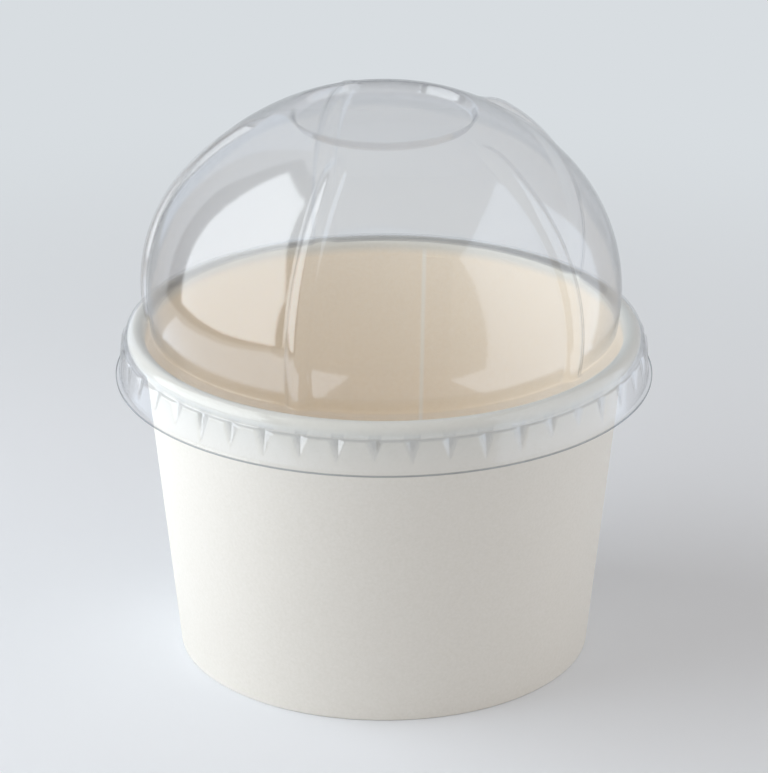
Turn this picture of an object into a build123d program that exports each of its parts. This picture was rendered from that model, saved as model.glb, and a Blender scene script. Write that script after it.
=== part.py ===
from build123d import *
import os
from math import asin, atan2, cos, degrees, hypot, radians, sin, sqrt, tan

# Paper dessert cup with a clear dome lid, in millimetres.
# +Z is up, and the origin is the centre of the base, on the table.
# Sections are drawn in a plane of radius and height, and turned about the cup's axis.
# Azimuths are in degrees from the front, which is -Y, and grow towards +X.

# Paper cup
cup_height = 62.6
base_radius = 38.45
rim_radius = 47.5
board = 0.45
roll_diameter = 3.2
roll_sweep = 290
hem_height = 6.4
fold_bevel = 0.2
floor_height = 8.0
glue_gap = 0.05
skirt_end_gap = 0.5
bottom_fold_round = 0.3

# Lap seam of the sidewall, at the back
seam_azimuth = 165
seam_overlap = 8.0
seam_step = 0.2

# Clear lid: one sheet, given by its outer face
sheet = 0.3
seat_gap = 0.1
shoulder_radius = 33.1
crown_radius = 44.65
join_angle = 40.1
dome_radius = 43.8
shoulder_rise = 7.1
mouth_radius = 17.5
mouth_round = 0.9
mouth_wall_angle = 150
dish_depth = 1.75
dish_round = 0.8

# Ribs of the dome
rib_count = 5
rib_azimuth = -20.5
rib_tube_radius = 3.2
rib_proud = 1.2
rib_fade_start = 57
rib_fade_radius = 8.0
rib_fade_sweep = 45
rib_foot_sweep = 18

# Skirt with its ring of snap lugs
skirt_height = 9.15
shelf_drop = 1.1
shelf_width = 0.8
panel_flare = 0.4
lip_width = 0.65
lug_count = 45
lug_azimuth = -2
lug_width = 3.4
lug_height = 4.2
lug_gap = 0.15

# Length by which cutting and joining solids run on past the faces they meet
overrun = 0.5

full_turn = 360
half_turn = 180
quarter_turn = 90


def polar(centre, radius, angle):
    """A point at a distance and an angle from a centre, in the section's plane."""
    return (centre[0] + radius * cos(radians(angle)), centre[1] + radius * sin(radians(angle)))


def arc(centre, radius, start, sweep):
    """An arc in the section's plane."""
    return CenterArc(centre, radius, start, sweep)


def turned(section):
    """A solid of revolution from its section, drawn in radius and height."""
    return revolve(Plane.XZ * section, Axis.Z, full_turn)


def at_azimuth(shape, azimuth):
    """A shape drawn over +X, turned to an azimuth from the front."""
    return Rot(0, 0, azimuth - quarter_turn) * shape


# The sidewall's inner face runs straight from the hem's fold to the rim's roll and is tangent to both,
# so its lean follows from the two circles.
roll_radius = roll_diameter / 2
roll_centre = (rim_radius - roll_radius, cup_height - roll_radius)
fold_half_gap = board / 2 + glue_gap
fold_centre = (base_radius - board - fold_half_gap, board + fold_half_gap)
run = roll_centre[0] - fold_centre[0]
rise = roll_centre[1] - fold_centre[1]
lean = atan2(run, rise) - asin((roll_radius + fold_half_gap) / hypot(run, rise))
lean_degrees = degrees(lean)


def wall_radius(height, inset):
    """Radius at a height of a cone that lies a distance inside the sidewall's inner face."""
    return fold_centre[0] + ((height - fold_centre[1]) * sin(lean) + fold_half_gap - inset) / cos(lean)


def sheet_section(line, thickness):
    """The section of a sheet, from the line of its face and the parallel line of its back."""
    face = Wire(line(0))
    back = Wire(line(thickness))
    ends = [Line(face @ 0, back @ 0), Line(face @ 1, back @ 1)]
    return make_face(face.edges() + back.edges() + [end.edge() for end in ends])


def sidewall_line(depth):
    """Hem, fold, wall and curled rim in one line, a distance into the board from its inner face."""
    hem_inset = 2 * fold_half_gap + depth
    wall_top_angle = half_turn - lean_degrees
    straights = Polyline(
        (wall_radius(hem_height, hem_inset), hem_height),
        (wall_radius(board - depth, hem_inset), board - depth),
        (wall_radius(board - depth, -depth), board - depth),
        polar(roll_centre, roll_radius - depth, wall_top_angle),
    )
    curl = arc(roll_centre, roll_radius - depth, wall_top_angle, -roll_sweep)
    return straights.edges() + [curl.edge()]


# Sidewall: one sheet, with its two lowest corners eased by the fold
sidewall_section = sheet_section(sidewall_line, board)
fold_corners = sidewall_section.vertices().sort_by(Axis.Y)[:2]
cup_sidewall = turned(chamfer(fold_corners, fold_bevel))

# Bottom: a disc with its skirt turned down into the hem, as one sheet
floor_underside = floor_height - board
skirt_end = board + skirt_end_gap


def bottom_line(depth):
    """Disc and skirt in one line, a distance into the board from the underside."""
    level = floor_underside + depth
    inset = glue_gap + board - depth
    line = FilletPolyline(
        (0, level),
        (wall_radius(level, inset), level),
        (wall_radius(skirt_end, inset), skirt_end),
        radius=bottom_fold_round + depth,
    )
    return line.edges()


cup_bottom = turned(sheet_section(bottom_line, board))

# Lap seam: each end of the blank stands proud of the other by a step, and fades into the wall
seam_half_angle = degrees(seam_overlap / (2 * rim_radius))


def lap(inset, proud, low, high, azimuth_of_step, azimuth_of_fade):
    """A wedge on one face of the wall: a step at one azimuth that fades out at the other."""
    outlines = []
    for height in (low, high):
        face = wall_radius(height, inset)
        root = face - proud / abs(proud) * board / 2
        middle = (azimuth_of_step + azimuth_of_fade) / 2
        places = [
            (root, azimuth_of_step),
            (face + proud, azimuth_of_step),
            (face + proud / 2, middle),
            (face + (root - face) / 2, azimuth_of_fade),
            (root, azimuth_of_fade),
        ]
        corner = [polar((0, 0), radius, azimuth - quarter_turn) for radius, azimuth in places]
        outline = [
            Line(corner[0], corner[1]),
            ThreePointArc(corner[1], corner[2], corner[3]),
            Line(corner[3], corner[4]),
            ThreePointArc(corner[4], polar((0, 0), root, middle - quarter_turn), corner[0]),
        ]
        outlines.append(Pos(0, 0, height) * make_face(outline))
    return loft(outlines)


seam_left = seam_azimuth - seam_half_angle
seam_right = seam_azimuth + seam_half_angle
curl_end = roll_centre[1] - roll_radius
cup_sidewall += lap(0, -seam_step, floor_height + board, curl_end, seam_right, seam_left)
cup_sidewall += lap(-board, seam_step, skirt_end, curl_end - glue_gap, seam_left, seam_right)

# Lid: levels of the ledge on the rim and of the cover round the roll
ledge_height = cup_height + seat_gap + sheet
cover_arc_radius = roll_radius + seat_gap + sheet
cover_radius = rim_radius + seat_gap + sheet
panel_radius = cover_radius + shelf_width
lug_foot_radius = panel_radius + panel_flare
lip_radius = lug_foot_radius + lip_width
shelf_height = roll_centre[1] - shelf_drop
lip_height = ledge_height - skirt_height

# Dome: a shoulder arc and a crown arc, tangent to each other, and a round at the mouth of the dish
shoulder_centre = (dome_radius - shoulder_radius, ledge_height + shoulder_rise)
crown_centre = polar(shoulder_centre, shoulder_radius - crown_radius, join_angle)
mouth_offset = mouth_radius - crown_centre[0]
mouth_centre = (
    mouth_radius,
    crown_centre[1] + sqrt((crown_radius - mouth_round) ** 2 - mouth_offset**2),
)
mouth_angle = degrees(atan2(mouth_centre[1] - crown_centre[1], mouth_offset))
mouth_top = mouth_centre[1] + mouth_round
dish_height = mouth_top - dish_depth
dish_edge = polar(mouth_centre, mouth_round, mouth_wall_angle)
dish_slope = radians(mouth_wall_angle - quarter_turn)
dish_radius = dish_edge[0] - (dish_edge[1] - dish_height) / tan(dish_slope)


def lid_outline(inset):
    """The lid's section line, from its axis to the lip, a distance inside its outer face."""
    dish = FilletPolyline(
        (0, dish_height - inset),
        (dish_radius + inset * tan(dish_slope / 2), dish_height - inset),
        polar(mouth_centre, mouth_round - inset, mouth_wall_angle),
        radius=dish_round + inset,
    )
    foot_angle = -degrees(asin((shoulder_rise + inset) / (shoulder_radius - inset)))
    arcs = [
        arc(mouth_centre, mouth_round - inset, mouth_wall_angle, mouth_angle - mouth_wall_angle),
        arc(crown_centre, crown_radius - inset, mouth_angle, join_angle - mouth_angle),
        arc(shoulder_centre, shoulder_radius - inset, join_angle, foot_angle - join_angle),
    ]
    foot = polar(shoulder_centre, shoulder_radius - inset, foot_angle)
    ledge = Line(foot, (roll_centre[0], ledge_height - inset))
    cover = arc(roll_centre, cover_arc_radius - inset, quarter_turn, -quarter_turn)
    skirt = Polyline(
        polar(roll_centre, cover_arc_radius - inset, 0),
        (cover_radius - inset, shelf_height - inset),
        (panel_radius - inset, shelf_height - inset),
        (lug_foot_radius - inset, lip_height - inset),
        (lip_radius, lip_height - inset),
    )
    return dish.edges() + [a.edge() for a in arcs] + [ledge.edge(), cover.edge()] + skirt.edges()


def under(inset, bottom):
    """The solid that fills the lid below its section line, down to a level."""
    closing = Polyline(
        (lip_radius, lip_height - inset),
        (lip_radius, bottom),
        (0, bottom),
        (0, dish_height - inset),
    )
    return turned(make_face(lid_outline(inset) + closing.edges()))


lid_bottom = lip_height - sheet
lid_outside = under(0, lid_bottom)
lid_inside = under(sheet, lid_bottom - overrun)

# Ribs: a tube just under the dome's face, which runs down to the ledge and dives under the crown
rib_depth = rib_tube_radius - rib_proud


def rib(inset):
    """The filled form of one rib over +X, a distance inside its outer face."""
    fade_centre = polar(crown_centre, crown_radius - rib_depth - rib_fade_radius, rib_fade_start)
    foot_start = -rib_foot_sweep
    spans = [
        arc(shoulder_centre, shoulder_radius - rib_depth, foot_start, join_angle - foot_start),
        arc(crown_centre, crown_radius - rib_depth, join_angle, rib_fade_start - join_angle),
        arc(fade_centre, rib_fade_radius, rib_fade_start, rib_fade_sweep),
    ]
    path = Plane.XZ * Wire([span.edge() for span in spans])
    section = Plane(origin=path @ 0, z_dir=path % 0) * Circle(rib_tube_radius - inset)
    return sweep(section, path=path)


rib_azimuths = [rib_azimuth + i * full_turn / rib_count for i in range(rib_count)]
ribs_outside = [at_azimuth(rib(0), azimuth) for azimuth in rib_azimuths]
ribs_inside = [at_azimuth(rib(sheet), azimuth) for azimuth in rib_azimuths]

# Snap lugs: dents pressed in below the cover, deep at the top and running out to a point below
lug_tip_radius = rim_radius + lug_gap
lug_half_angle = degrees(atan2(lug_width / 2, panel_radius - cover_radius))
lug_ridge_shift = sheet / sin(radians(lug_half_angle))
lug_top_radius = lug_tip_radius + lug_ridge_shift
lug_slope = (lug_foot_radius - lug_top_radius) / lug_height


def lug(shift, top):
    """The wedge pressed into the skirt by one lug: a V groove whose ridge leans outwards as it drops."""
    ridge = lug_top_radius - shift + (shelf_height - top) * lug_slope
    reach = lip_radius - lug_top_radius + overrun
    spread = reach * tan(radians(lug_half_angle))
    outline = Polyline((ridge, 0), (ridge + reach, -spread), (ridge + reach, spread), close=True)
    groove = Pos(0, 0, top) * make_face(outline.edges())
    drop = top - shelf_height + lug_height + overrun
    return extrude(groove, amount=drop, dir=(lug_slope, 0, -1))


lug_azimuths = [lug_azimuth + i * full_turn / lug_count for i in range(lug_count)]
dents_outside = [at_azimuth(lug(0, shelf_height + sheet / 2), azimuth) for azimuth in lug_azimuths]
dents_inside = [at_azimuth(lug(lug_ridge_shift, shelf_height - sheet / 2), azimuth) for azimuth in lug_azimuths]

lid_outside = (lid_outside + ribs_outside) - dents_outside
lid_inside = (lid_inside + ribs_inside) - dents_inside
dome_lid = lid_outside - lid_inside

# One STEP file for each piece
os.makedirs("parts", exist_ok=True)
pieces = {"cup_sidewall": cup_sidewall, "cup_bottom": cup_bottom, "dome_lid": dome_lid}
for name, shape in pieces.items():
    shape.label = name
    export_step(shape, f"parts/{name}.step")
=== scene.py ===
from math import asin, atan2, cos, degrees, pi, radians, sin, sqrt, tan
from random import Random

import bpy
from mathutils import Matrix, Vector


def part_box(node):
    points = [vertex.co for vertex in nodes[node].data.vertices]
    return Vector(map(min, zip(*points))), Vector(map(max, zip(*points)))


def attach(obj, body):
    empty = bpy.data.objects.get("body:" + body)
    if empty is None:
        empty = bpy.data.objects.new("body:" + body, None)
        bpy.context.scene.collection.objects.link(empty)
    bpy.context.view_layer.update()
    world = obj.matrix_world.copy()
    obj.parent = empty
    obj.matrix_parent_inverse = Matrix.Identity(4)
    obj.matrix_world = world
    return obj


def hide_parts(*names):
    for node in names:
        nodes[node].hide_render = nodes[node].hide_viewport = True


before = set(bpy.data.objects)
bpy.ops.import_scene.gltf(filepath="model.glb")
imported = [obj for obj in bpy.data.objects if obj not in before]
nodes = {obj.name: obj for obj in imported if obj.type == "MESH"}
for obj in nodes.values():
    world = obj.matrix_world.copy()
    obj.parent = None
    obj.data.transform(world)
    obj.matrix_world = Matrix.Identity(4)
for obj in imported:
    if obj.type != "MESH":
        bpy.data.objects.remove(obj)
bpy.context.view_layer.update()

# Looks of a white paper dessert cup with a clear dome lid.
# Lengths are in metres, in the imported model's frame: +Z is up, and -Y faces the camera.
# Azimuths are in degrees from -Y, and grow towards +X.
MM = 0.001

cup_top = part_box("cup_sidewall")[1][2]
rim_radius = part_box("cup_sidewall")[1][0]
lid_low, lid_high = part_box("dome_lid")
lip_radius = lid_high[0]


def linear(code):
    """The linear colour, with alpha, of an sRGB hex code."""
    shares = [int(code[i : i + 2], 16) / 255 for i in (1, 3, 5)]
    return [s / 12.92 if s <= 0.04045 else ((s + 0.055) / 1.055) ** 2.4 for s in shares] + [1]


def add_node(tree, kind, settings={}, values={}, links={}):
    """A node with its settings, its sockets' own values and the outputs that feed its sockets."""
    node = tree.nodes.new(kind)
    for name, value in settings.items():
        setattr(node, name, value)
    for name, value in values.items():
        node.inputs[name].default_value = value
    for name, output in links.items():
        tree.links.new(output, node.inputs[name])
    return node


def new_material(name):
    """An empty node material and its tree."""
    material = bpy.data.materials.new(name)
    material.use_nodes = True
    material.node_tree.nodes.clear()
    return material, material.node_tree


def show(tree, shader):
    """Ends a material's tree with its shader."""
    add_node(tree, "ShaderNodeOutputMaterial", links={"Surface": shader})


def dress(name, material):
    """Gives a CAD node its material."""
    for material_slot in nodes[name].material_slots:
        material_slot.material = material


def length_from_axis(tree, parts):
    """The distance from the cup's axis of a place that is split into its parts."""
    flat = add_node(tree, "ShaderNodeCombineXYZ", links={axis: parts.outputs[axis] for axis in "XY"})
    flat_place = flat.outputs["Vector"]
    across = add_node(tree, "ShaderNodeVectorMath", {"operation": "LENGTH"}, links={0: flat_place})
    return across.outputs["Value"]


def either(tree, first, second):
    """The larger of two outputs."""
    larger = add_node(tree, "ShaderNodeMath", {"operation": "MAXIMUM"}, links={0: first, 1: second})
    return larger.outputs["Value"]


# Wall of the cup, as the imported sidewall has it: radius of its mid-line at the base, and its lean
base_mid_radius = 38.15 * MM
wall_lean = 0.1044
seam_edge_azimuth = 169.8

# Sockets of a Mix node for colours
MIX_SHARE, MIX_FIRST, MIX_SECOND, MIX_RESULT = 0, 6, 7, 2


# Cup: bleached cupstock board, bare outside and film coated inside.
# The bare face is a soft, matte white with fine, even fibres; the coated face is creamier and smoother.
# The rolled rim is as white as the outside.
def cupstock_board():
    material, tree = new_material("bleached_cupstock_board")
    place = add_node(tree, "ShaderNodeTexCoord").outputs["Object"]

    fibre_length = 0.6 * MM
    fibres = add_node(
        tree,
        "ShaderNodeTexNoise",
        values={"Scale": 1 / fibre_length, "Detail": 3, "Roughness": 0.6},
        links={"Vector": place},
    )
    bare = add_node(tree, "ShaderNodeValToRGB", links={"Fac": fibres.outputs["Fac"]})
    bare.color_ramp.elements[0].position = 0.3
    bare.color_ramp.elements[0].color = linear("#E6E3DC")
    bare.color_ramp.elements[1].position = 0.7
    bare.color_ramp.elements[1].color = linear("#EBE8E2")
    coated = add_node(tree, "ShaderNodeValToRGB", links={"Fac": fibres.outputs["Fac"]})
    coated.color_ramp.elements[0].position = 0.3
    coated.color_ramp.elements[0].color = linear("#FBEFDE")
    coated.color_ramp.elements[1].position = 0.7
    coated.color_ramp.elements[1].color = linear("#FEF4E6")

    # The inner face lies inside a cone through the middle of the wall
    parts = add_node(tree, "ShaderNodeSeparateXYZ", links={"Vector": place})
    radius = length_from_axis(tree, parts)
    cone = add_node(
        tree,
        "ShaderNodeMath",
        {"operation": "MULTIPLY_ADD"},
        {1: wall_lean, 2: base_mid_radius},
        {0: parts.outputs["Z"]},
    )
    depth = add_node(
        tree,
        "ShaderNodeMath",
        {"operation": "SUBTRACT"},
        links={0: cone.outputs["Value"], 1: radius},
    )
    within = add_node(
        tree,
        "ShaderNodeMapRange",
        values={"From Min": 0, "From Max": 0.15 * MM},
        links={"Value": depth.outputs["Value"]},
    )
    below_roll = add_node(
        tree,
        "ShaderNodeMapRange",
        values={"From Min": cup_top - 3 * MM, "From Max": cup_top - 1.5 * MM, "To Min": 1, "To Max": 0},
        links={"Value": parts.outputs["Z"]},
    )
    inside = add_node(
        tree,
        "ShaderNodeMath",
        {"operation": "MULTIPLY"},
        links={0: within.outputs["Result"], 1: below_roll.outputs["Result"]},
    )
    # The raw edge of the lapped blank shows as a pale line up the inner face
    turn = radians(seam_edge_azimuth)
    off_seam = add_node(
        tree, "ShaderNodeVectorMath", {"operation": "DOT_PRODUCT"}, {1: (cos(turn), sin(turn), 0)}, {0: place}
    )
    aside = add_node(tree, "ShaderNodeMath", {"operation": "ABSOLUTE"}, links={0: off_seam.outputs["Value"]})
    raw_edge = add_node(
        tree,
        "ShaderNodeMapRange",
        values={"From Min": 0.2 * MM, "From Max": 0.6 * MM, "To Min": 1, "To Max": 0},
        links={"Value": aside.outputs["Value"]},
    )
    at_back = add_node(tree, "ShaderNodeMath", {"operation": "GREATER_THAN"}, {1: 0}, {0: parts.outputs["Y"]})
    seam = add_node(
        tree,
        "ShaderNodeMath",
        {"operation": "MULTIPLY"},
        links={0: raw_edge.outputs["Result"], 1: at_back.outputs["Value"]},
    )
    coated_seam = add_node(
        tree,
        "ShaderNodeMix",
        {"data_type": "RGBA"},
        {MIX_SECOND: linear("#FEFAF3")},
        {MIX_SHARE: seam.outputs["Value"], MIX_FIRST: coated.outputs["Color"]},
    )
    colour = add_node(
        tree,
        "ShaderNodeMix",
        {"data_type": "RGBA"},
        links={
            MIX_SHARE: inside.outputs["Value"],
            MIX_FIRST: bare.outputs["Color"],
            MIX_SECOND: coated_seam.outputs[MIX_RESULT],
        },
    )
    roughness = add_node(
        tree,
        "ShaderNodeMapRange",
        values={"To Min": 0.75, "To Max": 0.42},
        links={"Value": inside.outputs["Value"]},
    )
    grain = add_node(
        tree,
        "ShaderNodeBump",
        values={"Strength": 0.25, "Distance": 0.03 * MM},
        links={"Height": fibres.outputs["Fac"]},
    )
    board = add_node(
        tree,
        "ShaderNodeBsdfPrincipled",
        values={"IOR": 1.4},
        links={
            "Base Color": colour.outputs[MIX_RESULT],
            "Roughness": roughness.outputs["Result"],
            "Normal": grain.outputs["Normal"],
        },
    )
    show(tree, board.outputs["BSDF"])
    return material


# Lid: thermoformed PET sheet, water clear, with the slight waves that forming leaves.
# So thin a sheet shows what is behind it undistorted, and greyer where it is seen edge-on.
# The dome is glossy, and the skirt a little softer, where it was drawn over the mould.
def clear_pet_sheet():
    material, tree = new_material("clear_pet_sheet")
    place = add_node(tree, "ShaderNodeTexCoord").outputs["Object"]
    wave_length = 22 * MM
    waves = add_node(
        tree,
        "ShaderNodeTexNoise",
        values={"Scale": 1 / wave_length, "Detail": 1},
        links={"Vector": place},
    )
    face = add_node(
        tree,
        "ShaderNodeBump",
        values={"Strength": 1, "Distance": 0.5 * MM},
        links={"Height": waves.outputs["Fac"]},
    ).outputs["Normal"]
    facing = add_node(tree, "ShaderNodeLayerWeight", values={"Blend": 0.5}, links={"Normal": face})
    parts = add_node(tree, "ShaderNodeSeparateXYZ", links={"Vector": place})
    radius = length_from_axis(tree, parts)
    on_dome = add_node(
        tree,
        "ShaderNodeMapRange",
        values={"From Min": 63 * MM, "From Max": 65 * MM},
        links={"Value": parts.outputs["Z"]},
    )

    # The sheet greys where it is seen edge-on and at its cut edge; the grey where a lug is pressed in is
    # painted shade
    edge_tint = add_node(tree, "ShaderNodeValToRGB", links={"Fac": facing.outputs["Facing"]})
    edge_tint.color_ramp.elements[0].color = linear("#FFFFFF")
    edge_tint.color_ramp.elements[1].color = linear("#BCC0C4")
    edge_tint.color_ramp.elements.new(0.94).color = linear("#FBFBFC")
    pressed = add_node(tree, "ShaderNodeAttribute", {"attribute_name": "pressed"}).outputs["Fac"]
    # Painted shade: the see-through colour is greyed where the lugs are pressed in
    edge_tint_and_lug_shade = add_node(
        tree,
        "ShaderNodeMix",
        {"data_type": "RGBA"},
        {MIX_SECOND: linear("#F1F1F2")},
        {MIX_SHARE: pressed, MIX_FIRST: edge_tint.outputs["Color"]},
    )
    cut_edge = add_node(
        tree,
        "ShaderNodeMapRange",
        values={"From Min": lip_radius - 0.2 * MM, "From Max": lip_radius - 0.05 * MM},
        links={"Value": radius},
    )
    edged = add_node(
        tree,
        "ShaderNodeMix",
        {"data_type": "RGBA"},
        {MIX_SECOND: linear("#C3C7CB")},
        {MIX_SHARE: cut_edge.outputs["Result"], MIX_FIRST: edge_tint_and_lug_shade.outputs[MIX_RESULT]},
    )
    through = add_node(tree, "ShaderNodeBsdfTransparent", links={"Color": edged.outputs[MIX_RESULT]})

    # Each face mirrors a little when seen squarely, more in the lugs, and more as it turns away
    grazing = add_node(tree, "ShaderNodeMath", {"operation": "POWER"}, {1: 5}, {0: facing.outputs["Facing"]})
    squarely = add_node(
        tree,
        "ShaderNodeMapRange",
        values={"To Min": 0.04, "To Max": 0.07},
        links={"Value": on_dome.outputs["Result"]},
    )
    polished_lugs = add_node(
        tree,
        "ShaderNodeMath",
        {"operation": "MULTIPLY_ADD"},
        {1: 0.1},
        {0: pressed, 2: squarely.outputs["Result"]},
    )
    mirrored = add_node(
        tree,
        "ShaderNodeMath",
        {"operation": "MULTIPLY_ADD"},
        {1: 0.9},
        {0: grazing.outputs["Value"], 2: polished_lugs.outputs["Value"]},
    )
    softness = add_node(
        tree,
        "ShaderNodeMapRange",
        values={"To Min": 0.15, "To Max": 0.08},
        links={"Value": on_dome.outputs["Result"]},
    )
    gloss = add_node(
        tree, "ShaderNodeBsdfGlossy", links={"Roughness": softness.outputs["Result"], "Normal": face}
    )
    polished = add_node(
        tree,
        "ShaderNodeMixShader",
        links={"Fac": mirrored.outputs["Value"], 1: through.outputs["BSDF"], 2: gloss.outputs["BSDF"]},
    )

    # Lamps and the board's own scattered light pass straight through
    straight = add_node(tree, "ShaderNodeBsdfTransparent", values={"Color": linear("#FCFEFF")})
    path = add_node(tree, "ShaderNodeLightPath")
    lit = add_node(
        tree,
        "ShaderNodeMixShader",
        links={
            "Fac": either(tree, path.outputs["Is Shadow Ray"], path.outputs["Is Diffuse Ray"]),
            1: polished.outputs["Shader"],
            2: straight.outputs["BSDF"],
        },
    )
    show(tree, lit.outputs["Shader"])
    return material


# Lid sheet, as it is packed: a dome with a dished top, seated on the rolled rim
sheet = 0.3 * MM
seat_gap = 0.1 * MM
roll_radius = 1.6 * MM
dome_radius = 43.8 * MM
shoulder_radius = 33.1 * MM
shoulder_rise = 7.1 * MM
crown_radius = 44.65 * MM
join_angle = 40.1
mouth_radius = 17.5 * MM
mouth_round = 0.9 * MM
mouth_wall_angle = 150
dish_depth = 1.75 * MM
dish_ring_shares = (0.1, 0.4, 0.75)

# Ribs: tubes just under the sheet, joined to it softly
rib_count = 5
rib_azimuth = -20.5
rib_tube_radius = 3.2 * MM
rib_depth = 2.0 * MM
rib_fade_start = 57
rib_fade_radius = 8 * MM
rib_blend = 0.25 * MM

# Skirt: a cover round the roll, a narrow shelf, a panel with snap lugs and a flat lip
shelf_drop = 1.1 * MM
shelf_width = 0.8 * MM
panel_flare = 0.4 * MM
lug_count = 45
lug_azimuth = -2
lug_width = 3.6 * MM
lug_height = 5.0 * MM
lug_unevenness = 0.15
lug_tip_gap = 0.15 * MM
lug_blend = 0.12 * MM
press_start = 0.35 * MM
press_blend = 0.1 * MM

# Rounds that forming leaves where the sheet turns a corner
foot_reach = 0.9 * MM
shelf_reach = 0.4 * MM
dish_reach = 0.5 * MM

roll_centre = (rim_radius - roll_radius, cup_top - roll_radius)
ledge_height = cup_top + seat_gap + sheet
cover_arc_radius = roll_radius + seat_gap + sheet
cover_radius = rim_radius + seat_gap + sheet
shelf_height = roll_centre[1] - shelf_drop
panel_radius = cover_radius + shelf_width
lip_height = lid_low[2] + sheet
ledge_middle = (dome_radius + roll_centre[0]) / 2


def on_circle(centre, radius, angle):
    """A point of a section, at a distance and an angle from a centre."""
    return (centre[0] + radius * cos(radians(angle)), centre[1] + radius * sin(radians(angle)))


def spread(start, end, count):
    """Evenly spaced values from start to end, both included."""
    return [start + (end - start) * i / (count - 1) for i in range(count)]


def soft_max(a, b, blend):
    """The larger of two lengths, with the corner between them rounded."""
    near = max(blend - abs(a - b), 0) / blend
    return max(a, b) + near * near * blend / 4


def soft_corner(before, corner, after, reach, count=5):
    """Points of the round that takes the place of a section's corner."""
    before, corner, after = Vector(before), Vector(corner), Vector(after)
    reach = min(reach, 0.45 * (before - corner).length, 0.45 * (after - corner).length)
    start = corner + (before - corner).normalized() * reach
    end = corner + (after - corner).normalized() * reach
    return [tuple(start.lerp(corner, t).lerp(corner.lerp(end, t), t)) for t in spread(0, 1, count)]


shoulder_centre = (dome_radius - shoulder_radius, ledge_height + shoulder_rise)
crown_centre = on_circle(shoulder_centre, shoulder_radius - crown_radius, join_angle)
mouth_offset = mouth_radius - crown_centre[0]
mouth_centre = (mouth_radius, crown_centre[1] + sqrt((crown_radius - mouth_round) ** 2 - mouth_offset**2))
mouth_angle = degrees(atan2(mouth_centre[1] - crown_centre[1], mouth_offset))
dish_height = mouth_centre[1] + mouth_round - dish_depth
dish_slope = radians(mouth_wall_angle - 90)
dish_edge = on_circle(mouth_centre, mouth_round, mouth_wall_angle)
dish_radius = dish_edge[0] - (dish_edge[1] - dish_height) / tan(dish_slope)


def rib_cover(angle):
    """How deep a rib's centre line lies under the crown at an angle of it: it dives as it nears the dish."""
    if angle <= rib_fade_start:
        return rib_depth
    swing = radians(angle - rib_fade_start)
    reach = crown_radius - rib_depth - rib_fade_radius
    return crown_radius - reach * cos(swing) - sqrt(rib_fade_radius**2 - (reach * sin(swing)) ** 2)


def rib_rise(azimuth, radius, cover, inset):
    """How far the nearest rib lifts the sheet's outer face, or the face that lies inset below it."""
    pitch = 360 / rib_count
    offset = (azimuth - rib_azimuth + pitch / 2) % pitch - pitch / 2
    across = radius * sin(radians(offset))
    bulge = sqrt(max((rib_tube_radius - inset) ** 2 - across**2, 0)) - (cover - inset)
    return soft_max(0, bulge, rib_blend)


def dome_section(azimuth, inset):
    """The lid's section from the dish to the middle of the ledge, inset below its outer face."""
    floor = dish_height - inset
    corner = dish_radius + inset * tan(dish_slope / 2)
    line = [(corner * share, floor) for share in dish_ring_shares]
    rounded = mouth_round - inset
    wall_top = on_circle(mouth_centre, rounded, mouth_wall_angle)
    line += soft_corner((0, floor), (corner, floor), wall_top, dish_reach)
    line += [on_circle(mouth_centre, rounded, a) for a in spread(mouth_wall_angle, mouth_angle, 8)]
    for angle in spread(mouth_angle, join_angle, 18)[1:]:
        radius = crown_centre[0] + crown_radius * cos(radians(angle))
        rise = rib_rise(azimuth, radius, rib_cover(angle), inset)
        line.append(on_circle(crown_centre, crown_radius - inset + rise, angle))
    foot_rise = rib_rise(azimuth, dome_radius, rib_depth, inset)
    foot_angle = -degrees(asin((shoulder_rise + inset) / (shoulder_radius - inset + foot_rise)))
    for angle in spread(join_angle, foot_angle, 26)[1:]:
        radius = shoulder_centre[0] + shoulder_radius * cos(radians(angle))
        rise = rib_rise(azimuth, radius, rib_depth, inset)
        line.append(on_circle(shoulder_centre, shoulder_radius - inset + rise, angle))
    foot = line.pop()
    ledge = (ledge_middle, ledge_height - inset)
    line += soft_corner(line[-1], foot, ledge, foot_reach)
    return line + [ledge]


lug_tip_radius = rim_radius + lug_tip_gap
lug_half_angle = atan2(lug_width / 2, shelf_width)
lug_ridge_shift = sheet / sin(lug_half_angle)
lug_top_radius = lug_tip_radius + lug_ridge_shift
lug_run = panel_radius + panel_flare - lug_top_radius
uneven = Random(3)
lug_slopes = [lug_run / lug_height / (1 + lug_unevenness * uneven.uniform(-1, 1)) for _ in range(lug_count)]


def panel_at(azimuth, height, inset):
    """The panel's radius at a place: it flares out downwards, and each lug pulls it in along a soft ridge."""
    drop = shelf_height - height
    plain = panel_radius - inset + panel_flare * drop / (shelf_height - lip_height)
    pitch = 360 / lug_count
    lug = round((azimuth - lug_azimuth) / pitch)
    across = plain * sin(radians(azimuth - lug_azimuth - lug * pitch))
    ridge = lug_top_radius + lug_slopes[lug % lug_count] * drop - (lug_ridge_shift if inset else 0)
    pulled = ridge + (sqrt(across**2 + lug_blend**2) - lug_blend) / tan(lug_half_angle)
    return -soft_max(-plain, -pulled, lug_blend)


def skirt_section(azimuth, inset):
    """The lid's section from the ledge over the roll and down to the cut lip, inset below its outer face."""
    line = [(ledge_middle + foot_reach / 2, ledge_height - inset)]
    line += [on_circle(roll_centre, cover_arc_radius - inset, a) for a in spread(90, 0, 9)]
    shelf = shelf_height - inset
    lip = lip_height - inset
    inner_corner = (cover_radius - inset, shelf)
    outer_corner = (max(panel_at(azimuth, shelf, inset), cover_radius - inset), shelf)
    heights = spread(shelf, lip, 12)
    panel = [(panel_at(azimuth, height, inset), height) for height in heights]
    line += soft_corner(line[-1], inner_corner, outer_corner, shelf_reach, 4)
    line += soft_corner(inner_corner, outer_corner, panel[1], shelf_reach, 4)
    line += panel[1:-1]
    end = (lip_radius, lip)
    line += soft_corner(panel[-2], panel[-1], end, shelf_reach, 4)
    return line + [end]


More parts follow.
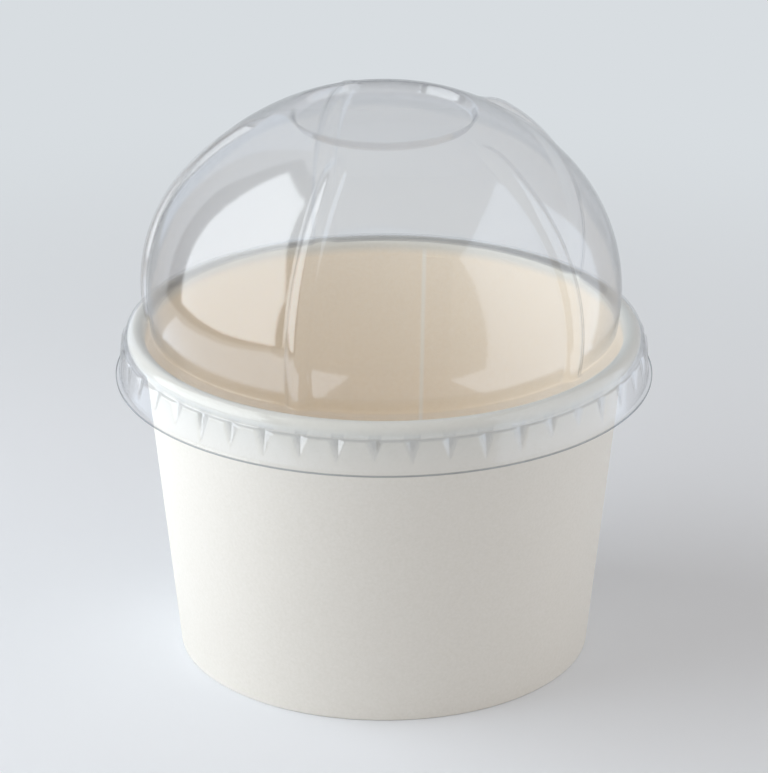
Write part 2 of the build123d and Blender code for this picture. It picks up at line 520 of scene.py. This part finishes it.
def lay_skin(vertices, faces, azimuths, section, inset):
    """Adds one face of the sheet as a grid of columns, and returns its first and last rings."""
    first = len(vertices)
    for azimuth in azimuths:
        turn = radians(azimuth - 90)
        line = section(azimuth, inset)
        vertices += [(r * cos(turn), r * sin(turn), z) for r, z in line]
    rows = len(line)
    count = len(azimuths)
    for i in range(count):
        here = first + i * rows
        there = first + (i + 1) % count * rows
        for j in range(rows - 1):
            face = (here + j, here + j + 1, there + j + 1, there + j)
            faces.append(face[::-1] if inset else face)
    return [[first + i * rows + j for i in range(count)] for j in (0, rows - 1)]


def zip_rings(faces, ring, azimuths, outer_ring, outer_azimuths, turn_over):
    """Fills the gap between two rings of different counts with triangles."""
    i = j = 0
    count, outer_count = len(ring), len(outer_ring)
    while i < count or j < outer_count:
        next_here = azimuths[(i + 1) % count] + 360 * ((i + 1) // count)
        next_there = outer_azimuths[(j + 1) % outer_count] + 360 * ((j + 1) // outer_count)
        here, there = ring[i % count], outer_ring[j % outer_count]
        if j >= outer_count or (i < count and next_here < next_there):
            i += 1
            face = (here, there, ring[i % count])
        else:
            j += 1
            face = (here, there, outer_ring[j % outer_count])
        faces.append(face[::-1] if turn_over else face)


def fine_azimuths(count, first, fine_offsets, coarse_count):
    """Azimuths of the columns: close together at each rib or lug, and wider apart between."""
    pitch = 360 / count
    gap = pitch - 2 * fine_offsets[-1]
    offsets = [-offset for offset in fine_offsets[:0:-1]] + list(fine_offsets)
    offsets += [fine_offsets[-1] + gap * i / coarse_count for i in range(1, coarse_count)]
    return sorted((first + pitch * i + offset) % 360 for i in range(count) for offset in offsets)


def lug_depth(place):
    """1 where a point of the skirt lies deep in a lug, and 0 at the panel."""
    drop = shelf_height - place.z
    if drop < 0 or place.z < lip_height - sheet:
        return 0
    depth = panel_radius + panel_flare * drop / (shelf_height - lip_height) - place.xy.length
    return min(max((depth - press_start) / press_blend, 0), 1)


def dome_lid_piece():
    """The whole lid as one thermoformed sheet with both of its faces."""
    rib_offsets = spread(0, 7.5, 26)
    lug_offsets = (0, 0.4, 0.8, 1.2, 1.6, 2, 2.5)
    dome_azimuths = fine_azimuths(rib_count, rib_azimuth, rib_offsets, 24)
    skirt_azimuths = fine_azimuths(lug_count, lug_azimuth, lug_offsets, 2)
    vertices, faces = [], []
    lips = []
    for inset in (0, sheet):
        dish_ring, ledge_ring = lay_skin(vertices, faces, dome_azimuths, dome_section, inset)
        cover_ring, lip_ring = lay_skin(vertices, faces, skirt_azimuths, skirt_section, inset)
        zip_rings(faces, ledge_ring, dome_azimuths, cover_ring, skirt_azimuths, bool(inset))
        vertices.append((0, 0, dish_height - inset))
        middle = len(vertices) - 1
        for here, there in zip(dish_ring, dish_ring[1:] + dish_ring[:1]):
            faces.append((middle, there, here) if inset else (middle, here, there))
        lips.append(lip_ring)
    outer, inner = lips
    for i in range(len(outer)):
        after = (i + 1) % len(outer)
        faces.append((outer[i], inner[i], inner[after], outer[after]))
    mesh = bpy.data.meshes.new("clear_dome_lid")
    mesh.from_pydata(vertices, [], faces)
    mesh.shade_smooth()
    depths = mesh.attributes.new("pressed", "FLOAT", "POINT")
    depths.data.foreach_set("value", [lug_depth(vertex.co) for vertex in mesh.vertices])
    cut_edge = set(outer + inner)
    for edge in mesh.edges:
        edge.use_edge_sharp = cut_edge.issuperset(edge.vertices)
    mesh.materials.append(clear_pet_sheet())
    lid = bpy.data.objects.new("clear_dome_lid", mesh)
    bpy.context.collection.objects.link(lid)
    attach(lid, "lid")
    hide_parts("dome_lid")


# Floor and backdrop: one pale sweep of matte card, under the cup and its shadow as the lamps light it.
# Farther off, where the lamps fall away, eyes and mirrors see the backdrop's even brightness.
backdrop_colour = "#D8DDE1"


def sweep_card():
    material, tree = new_material("pale_sweep_card")
    card = add_node(tree, "ShaderNodeBsdfDiffuse", values={"Color": linear("#EEF2F8")})
    even = add_node(tree, "ShaderNodeEmission", values={"Color": linear(backdrop_colour)})
    place = add_node(tree, "ShaderNodeTexCoord").outputs["Object"]
    distance = add_node(tree, "ShaderNodeVectorMath", {"operation": "LENGTH"}, links={0: place})
    far = add_node(
        tree,
        "ShaderNodeMapRange",
        {"interpolation_type": "SMOOTHSTEP"},
        {"From Min": 0.08, "From Max": 0.3},
        {"Value": distance.outputs["Value"]},
    )
    path = add_node(tree, "ShaderNodeLightPath")
    seen = either(tree, path.outputs["Is Camera Ray"], path.outputs["Is Glossy Ray"])
    evenness = add_node(
        tree,
        "ShaderNodeMath",
        {"operation": "MULTIPLY"},
        links={0: far.outputs["Result"], 1: seen},
    )
    sweep = add_node(
        tree,
        "ShaderNodeMixShader",
        links={"Fac": evenness.outputs["Value"], 1: card.outputs["BSDF"], 2: even.outputs["Emission"]},
    )
    show(tree, sweep.outputs["Shader"])
    return material


def stage_piece(name, vertices, faces, material):
    """A mesh of the studio around the object."""
    mesh = bpy.data.meshes.new(name)
    mesh.from_pydata(vertices, [], faces)
    mesh.shade_smooth()
    mesh.materials.append(material)
    piece = bpy.data.objects.new(name, mesh)
    bpy.context.collection.objects.link(piece)
    return piece


def studio_sweep():
    """A floor that curves up behind the object into a backdrop."""
    half_width = 4
    front = -4
    back = 1.2
    bend = 0.5
    height = 3
    steps = 16
    line = [(front, 0)]
    for turn in spread(0, pi / 2, steps + 1):
        line.append((back - bend + bend * sin(turn), bend - bend * cos(turn)))
    line.append((back, height))
    vertices = [(x, y, z) for y, z in line for x in (-half_width, half_width)]
    faces = [(2 * i, 2 * i + 1, 2 * i + 3, 2 * i + 2) for i in range(len(line) - 1)]
    stage_piece("studio_sweep", vertices, faces, sweep_card())


def softbox(name, centre, aim, width, height, roll, radiance, colour):
    """A rectangular lamp that faces a point, as bright as a white card at its radiance."""
    lamp = bpy.data.lights.new(name, "AREA")
    lamp.shape = "RECTANGLE"
    lamp.size = width
    lamp.size_y = height
    lamp.energy = radiance * pi * width * height
    lamp.color = colour
    box = bpy.data.objects.new(name, lamp)
    box.location = centre
    box.rotation_euler = (Vector(aim) - Vector(centre)).to_track_quat("-Z", "Y").to_euler()
    box.rotation_euler.rotate_axis("Z", radians(roll))
    box.visible_camera = False
    bpy.context.collection.objects.link(box)


def gloss_only(piece):
    """Lets only gloss show a piece of the studio."""
    piece.visible_camera = False
    piece.visible_diffuse = False
    piece.visible_shadow = False
    piece.visible_transmission = False


def black_cloth():
    """The black lip round the softbox's window."""
    material, tree = new_material("black_softbox_cloth")
    cloth = add_node(
        tree, "ShaderNodeBsdfPrincipled", values={"Base Color": linear("#141414"), "Roughness": 0.9}
    )
    show(tree, cloth.outputs["BSDF"])
    return material


def softbox_mask(name, distance, window, border):
    """A black frame in front of the softbox, round its window's corners, given as (y, z)."""
    middle = Vector((sum(y for y, z in window), sum(z for y, z in window))) / len(window)
    rings = []
    for reach in (0, border):
        corners = [Vector(corner) for corner in window]
        rings += [corner + (corner - middle).normalized() * reach for corner in corners]
    vertices = [(distance, y, z) for y, z in rings]
    count = len(window)
    faces = [(i, (i + 1) % count, (i + 1) % count + count, i + count) for i in range(count)]
    gloss_only(stage_piece(name, vertices, faces, black_cloth()))


def white_card(name, line, front, back, radiance):
    """A card beside the cup, bent along a line given as (x, z): it glows at a set brightness, and only gloss
    sees it, as a painted reflection of a lamp-lit white card.
    """
    material, tree = new_material(name)
    glow = add_node(
        tree,
        "ShaderNodeEmission",
        values={"Color": linear("#EAF4FF"), "Strength": radiance},
    )
    show(tree, glow.outputs["Emission"])
    vertices = [(x, y, z) for x, z in line for y in (front, back)]
    faces = [(2 * i, 2 * i + 1, 2 * i + 3, 2 * i + 2) for i in range(len(line) - 1)]
    gloss_only(stage_piece(name, vertices, faces, material))


def studio_light():
    """A softbox on the left, a dimmer one on the right, cards for gloss to show, and even air."""
    cool = (0.915, 0.965, 1.0)
    neutral = (1.0, 1.0, 1.0)
    softbox("key_softbox", (-0.30, -0.045, 0.28), (0, -0.045, 0.28), 0.42, 0.62, 12, 2.08, cool)
    softbox("right_softbox", (0.42, -0.03, 0.29), (0, -0.03, 0.25), 0.5, 0.56, 0, 0.72, neutral)
    window = ((-0.25, 0.01), (0.085, 0.02), (0.175, 0.54), (-0.01, 0.59), (-0.265, 0.20))
    softbox_mask("softbox_mask", -0.29, window, 0.14)
    foot = 0.5 * MM
    white_card("right_card", ((0.085, foot), (0.15, foot), (0.15, 0.262)), -0.155, 0.06, 1.75)
    white_card("left_card", ((-0.055, foot), (-0.25, foot)), -0.20, 0.09, 1.85)
    white_card("rear_card", ((-0.27, foot), (-0.27, 0.7)), 0.33, 0.9, 1.15)
    world = bpy.data.worlds.new("studio_air")
    world.use_nodes = True
    tree = world.node_tree
    tree.nodes.clear()
    air = add_node(tree, "ShaderNodeBackground", values={"Color": (1.0, 0.93, 0.86, 1), "Strength": 0.465})
    even = add_node(tree, "ShaderNodeBackground", values={"Color": linear(backdrop_colour)})
    path = add_node(tree, "ShaderNodeLightPath")
    seen = either(tree, path.outputs["Is Camera Ray"], path.outputs["Is Glossy Ray"])
    around = add_node(
        tree,
        "ShaderNodeMixShader",
        links={"Fac": seen, 1: air.outputs["Background"], 2: even.outputs["Background"]},
    )
    add_node(tree, "ShaderNodeOutputWorld", links={"Surface": around.outputs["Shader"]})
    bpy.context.scene.world = world


def photo_camera():
    """The photograph's viewpoint: a long lens in front, looking down at the cup's middle."""
    elevation = radians(22.73)
    distance = 0.8557
    target = Vector((0, 0, 0.0501))
    camera = bpy.data.cameras.new("photo_camera")
    camera.sensor_fit = "VERTICAL"
    camera.sensor_height = 36
    camera.lens = 214.2
    camera.clip_start = 0.01
    camera.clip_end = 20
    view = bpy.data.objects.new("photo_camera", camera)
    view.location = target + distance * Vector((0, -cos(elevation), sin(elevation)))
    view.rotation_euler = (radians(90) - elevation, 0, 0)
    bpy.context.collection.objects.link(view)
    bpy.context.scene.camera = view


board = cupstock_board()
dress("cup_sidewall", board)
dress("cup_bottom", board)
dome_lid_piece()
studio_sweep()
studio_light()
photo_camera()
bpy.context.scene.view_settings.view_transform = "Standard"
